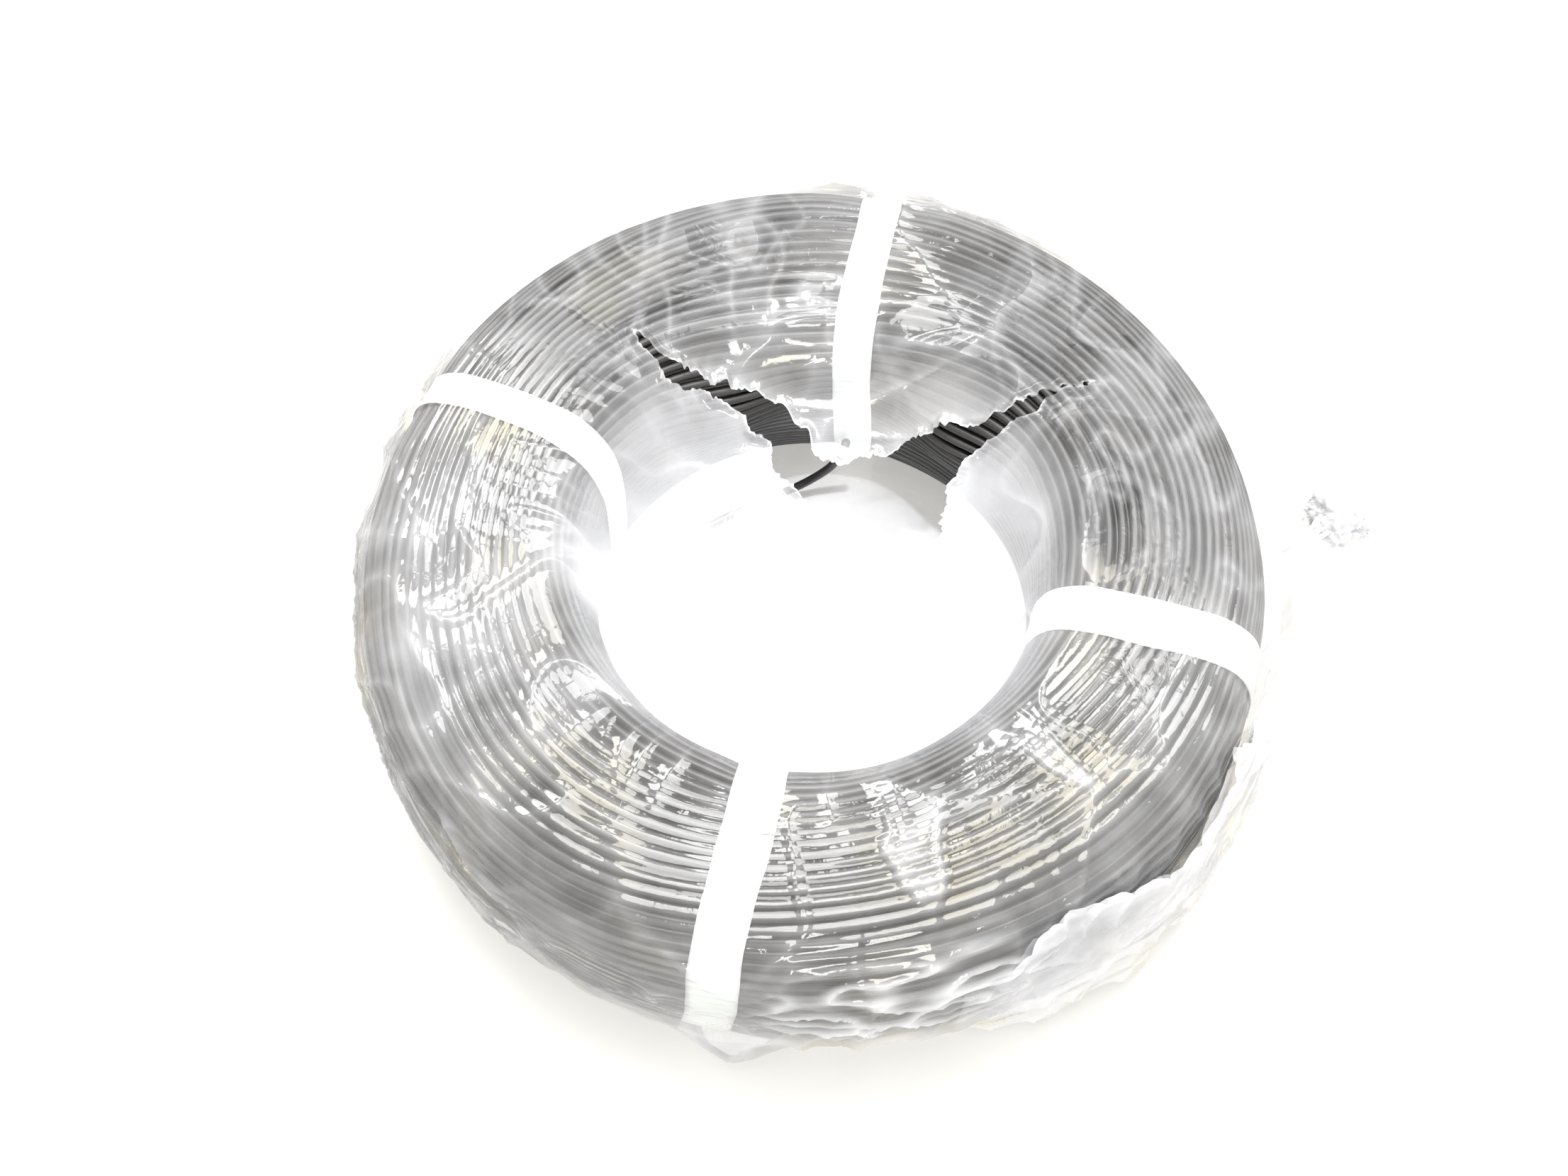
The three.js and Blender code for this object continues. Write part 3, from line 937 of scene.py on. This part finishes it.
# The milky folded flap low on the right: azimuth, then its top's and its foot's radius and height
FLAP_STATIONS = np.array([
    (-20.5, 121, 34, 122, 5), (-23.5, 117.5, 49, 119, 4), (-28, 113, 61, 119.5, 4),
    (-33, 114.5, 59.5, 118, 4), (-38.5, 115, 54, 119, 4), (-44, 116.5, 54.5, 117.5, 4),
    (-49, 113.5, 59, 118.5, 4), (-54.5, 112.5, 62.5, 116, 3), (-59.5, 110, 64.5, 115.5, 3),
    (-64, 111.5, 62, 113.5, 2.5), (-67.5, 115, 53, 112.5, 2), (-72.5, 115, 44, 111, 2),
])
FLAP_COLUMNS, FLAP_ROWS = 420, 70
FLAP_LAYERS = ((0.6, 0, 0.0), (-0.7, 3, 4.0))  # how far out it lies, its noise, how much lower its top is
FLAP_FADE = 9  # degrees over which its front end lies down on the flank


def add_flap(material):
    """Two loose layers of crinkled film that hang over the flank, with a scalloped upper edge."""
    columns, rows = FLAP_COLUMNS, FLAP_ROWS
    azimuth = np.linspace(FLAP_STATIONS[0, 0], FLAP_STATIONS[-1, 0], columns)
    track = [np.interp(-azimuth, -FLAP_STATIONS[:, 0], FLAP_STATIONS[:, k]) for k in range(1, 5)]
    t = np.linspace(0, 1, rows)[:, None]
    points, faces, hazes = [], [], []
    for layer, (lift, seed, cut) in enumerate(FLAP_LAYERS):
        scallop = np.abs(np.sin(azimuth * 0.36 + 1.3 * np.sin(azimuth * 0.13) + seed))
        top = np.array([track[0] - 0.6, track[1] + 1.2 * scallop - cut])
        foot = np.array([track[2] - 1.0, track[3]])
        middle = np.array([np.maximum(top[0], foot[0]) + 1.5, (top[1] + foot[1]) / 2])
        place = [(1 - t) ** 2 * top[k] + 2 * t * (1 - t) * middle[k] + t * t * foot[k] for k in (0, 1)]
        spot = around(np.stack(place, -1), np.radians(azimuth)[None]).reshape(-1, 3)
        out = spot * (1, 1, 0) / np.linalg.norm(spot[:, :2], axis=1)[:, None]
        warp = np.stack([NOISE[k + seed](spot / 14) for k in (0, 1, 2)], -1)
        crumple = ridged(NOISE[3 + seed], (spot + 4 * warp) / 11, 2)
        fine = ridged(NOISE[4 + seed], (spot + 3 * warp) / 6, 3)
        rim = np.repeat(1 - smoothstep(t[:, 0], 0, 0.05), columns)
        end = np.tile(smoothstep(azimuth, FLAP_STATIONS[-1, 0], FLAP_STATIONS[-1, 0] + FLAP_FADE), rows)
        push = lift + 1.3 * crumple + 0.25 * fine + 0.9 * NOISE[6](spot / 15) - 0.8 * rim
        spot = spot + out * (push * (0.3 + 0.7 * end) - 2.5 * (1 - end))[:, None]
        spot[:, 2] = np.maximum(spot[:, 2] + 0.6 * warp[:, 2], FILM_FOOT)
        cloudy = 0.3 + 0.18 * NOISE[(5 + seed) % len(NOISE)](spot / 12) + 0.08 * crumple + 0.2 * rim
        points.append(spot)
        hazes.append(cloudy * (0.25 + 0.75 * end))
        faces.append(grid_faces(rows, columns) + layer * rows * columns)
    flap = make_object("film_flap", np.vstack(points), np.vstack(faces), material)
    add_values(flap, haze=np.clip(np.concatenate(hazes), 0, 1))
    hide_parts("wrap_film")


# The bunched end of the film
TUFT_ROOT = polar_point(6.5, 126.0, 31.0)
TUFT_HEAD = polar_point(10.5, 140.0, 31.0)
NECK_STEPS, NECK_SIDES = 60, 72
BALLS = 3  # crumpled balls of film in the head, each a little bigger
BALL_ROWS, BALL_COLUMNS = 56, 88
TUFT_DULL = 0.6


def add_tuft(material):
    """The twisted end of the film: a pleated neck that opens into a crumpled head."""
    t = np.linspace(-0.15, 1, NECK_STEPS)[:, None]
    turn = np.linspace(0, TAU, NECK_SIDES, endpoint=False)[None]
    axis = TUFT_HEAD - TUFT_ROOT
    along = axis / np.linalg.norm(axis)
    side = np.cross(along, (0, 0, 1.0))
    side /= np.linalg.norm(side)
    up = np.cross(side, along)
    lobes = 1 + 0.35 * np.sin(7 * turn + 6 * t) + 0.2 * np.sin(12 * turn - 4 * t)
    radius = (2.0 + 5.0 * np.clip(-t + 0.1, 0, 1) ** 0.7 * 2 + 2.5 * np.clip(t - 0.35, 0, 1)) * lobes
    across = np.cos(turn)[..., None] * side + np.sin(turn)[..., None] * up
    neck = TUFT_ROOT + axis * t[..., None] + radius[..., None] * across
    points, faces = [neck.reshape(-1, 3)], [grid_faces(NECK_STEPS, NECK_SIDES, wrap_columns=True)]
    tilt = np.linspace(0.12, math.pi - 0.12, BALL_ROWS)[:, None]
    spin = np.linspace(0, TAU, BALL_COLUMNS, endpoint=False)[None]
    round_ball = [np.sin(tilt) * np.cos(spin), np.sin(tilt) * np.sin(spin), np.cos(tilt) + 0 * spin]
    for k in range(BALLS):
        ball = np.stack(round_ball, -1).reshape(-1, 3)
        ball = ball @ np.array(Matrix.Rotation(1.1 * k, 3, (1, 0.4 * k, 0.3)))
        warp = np.stack([NOISE[j + k](ball * 1.7 + 3 * k) for j in (0, 1, 2)], -1)
        folds = ridged(NOISE[3 + k], ball * 1.9 + 0.8 * warp, 1.6)
        fine = ridged(NOISE[5 + k], ball * 4.5 + warp, 2)
        size = 4.2 + 1.2 * k + 2.8 * folds + 0.4 * fine
        shape = ball * size[:, None] * (1.05, 1.0, 0.85) + 1.2 * warp
        base = sum(len(p) for p in points)
        points.append(TUFT_HEAD + shape)
        faces.append(grid_faces(BALL_ROWS, BALL_COLUMNS, wrap_columns=True) + base)
    points = np.vstack(points)
    tuft = make_object("film_tuft", points, np.vstack(faces), material)
    milky = np.clip(0.45 + 0.25 * NOISE[2](points / 4), 0, 1)
    add_values(tuft, haze=milky, dull=np.full(len(points), TUFT_DULL))
    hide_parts("wrap_film_knot")


# The underside of the film
BASE_ROWS, BASE_COLUMNS = 90, 240


def add_film_base(material):
    """The film's underside, from the middle of the bore to under the turns, slightly rumpled."""
    radius = np.linspace(0.5, MIDDLE_RADIUS + 1, BASE_ROWS)
    azimuth = np.linspace(0, TAU, BASE_COLUMNS, endpoint=False)
    flat = np.stack([radius, np.full(len(radius), FILM_FOOT)], -1)
    spot = around(flat[:, None], azimuth[None]).reshape(-1, 3)
    free = 1 - smoothstep(np.hypot(spot[:, 0], spot[:, 1]), 46, 58)
    rise = 0.5 * ridged(NOISE[6], spot / 23, 3) + 0.12 * ridged(NOISE[7], spot / 8, 3)
    spot[:, 2] += 0.05 + free * rise
    faces = grid_faces(BASE_ROWS, BASE_COLUMNS, wrap_columns=True)
    base = make_object("film_base", spot, faces, material)
    # Milkier toward the bore's middle, partly painted light: the whiter film lifts the floor inside the
    # bore, which lies in the coil's shade
    add_values(base, haze=0.2 + 0.3 * free + 0.1 * rise * free)
    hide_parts("wrap_film")


# Stage and light
FLOOR_REACH, FLOOR_HEIGHT = 2500, -0.15
AIR_COLOUR = (1, 0.965, 0.9, 1)
AIR_STRENGTH = 1.15
LAMP_AIM = (0, 0, 0.03)
# Soft boxes: name, place in metres, size in metres and power in watts
LAMPS = [
    ("right_softbox", (0.56, 0.60, 1.01), (0.8, 0.6), 10.0),
    ("left_softbox", (-0.34, 0.78, 1.0), (0.62, 0.42), 8.0),
    ("overhead_softbox", (0.0, 0.12, 1.4), (0.8, 0.8), 12.0),
    ("front_softbox", (0.15, -1.15, 0.66), (0.6, 0.3), 5.5),
]
SPOT_PLACE = (0, 0.005, 1.2)  # straight above the bore, which it fills
SPOT_POWER = 58
SPOT_DEGREES = 6.2
SPOT_BLEND = 0.3
SPOT_RADIUS = 0.03


def add_floor():
    corners = [(-1, -1), (1, -1), (1, 1), (-1, 1)]
    places = [Vector((x * FLOOR_REACH, y * FLOOR_REACH, FLOOR_HEIGHT)) * MM for x, y in corners]
    mesh = bpy.data.meshes.new("floor")
    mesh.from_pydata(places, [], [(0, 1, 2, 3)])
    mesh.materials.append(floor_material())
    floor = bpy.data.objects.new("floor", mesh)
    bpy.context.scene.collection.objects.link(floor)


def new_lamp(name, kind, place, power):
    data = bpy.data.lights.new(name, kind)
    data.energy = power
    lamp = bpy.data.objects.new(name, data)
    lamp.location = place
    bpy.context.scene.collection.objects.link(lamp)
    return lamp


def add_light():
    """A bright even air, soft boxes round the coil and a narrow spot down its bore."""
    world = bpy.data.worlds.new("studio")
    bpy.context.scene.world = world
    world.use_nodes = True
    air = world.node_tree.nodes["Background"]
    air.inputs["Color"].default_value = AIR_COLOUR
    air.inputs["Strength"].default_value = AIR_STRENGTH
    for name, place, size, power in LAMPS:
        lamp = new_lamp(name, "AREA", place, power)
        lamp.data.shape = "RECTANGLE"
        lamp.data.size, lamp.data.size_y = size
        lamp.rotation_euler = (Vector(LAMP_AIM) - Vector(place)).to_track_quat("-Z", "Y").to_euler()
    spot = new_lamp("bore_spot", "SPOT", SPOT_PLACE, SPOT_POWER)
    spot.data.spot_size = math.radians(SPOT_DEGREES)
    spot.data.spot_blend = SPOT_BLEND
    spot.data.shadow_soft_size = SPOT_RADIUS
    bpy.context.scene.view_settings.view_transform = "Standard"
    bpy.context.scene.view_settings.look = "None"
    bpy.context.scene.view_settings.exposure = 0.0


# The scene, camera and free wire end first
add_camera()
silicone = silicone_material()
tape_white = tape_material()
add_tail(silicone, metal_material())
outer = wound_layer("outer_turns", WIND_INSET, 0.0, 0.22, silicone, WIRE_SIDES)
second = wound_layer("second_turns", WIND_INSET + LAYER_DROP, 0.5, 0.1, silicone, SECOND_SIDES)
core = coil_core(shaded_core_material())
for piece in (outer, second, core):
    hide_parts("wire_coil")
for side in TAPE_LOOKS:
    add_tape(side, tape_white)
clear = film_material()
film_flank = film_sheet("film_flank", 0, SHEETS_MEET_AT, FLANK_ROWS, clear)
film_end = FILM_TRACK.length - POLE_GAP
film_top = film_sheet("film_top", SHEETS_MEET_AT, film_end, TOP_ROWS, clear, tear=tear_outline())
for piece in (film_flank, film_top):
    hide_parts("wrap_film")
add_film_base(clear)
add_flap(clear)
add_tuft(clear)
add_floor()
add_light()
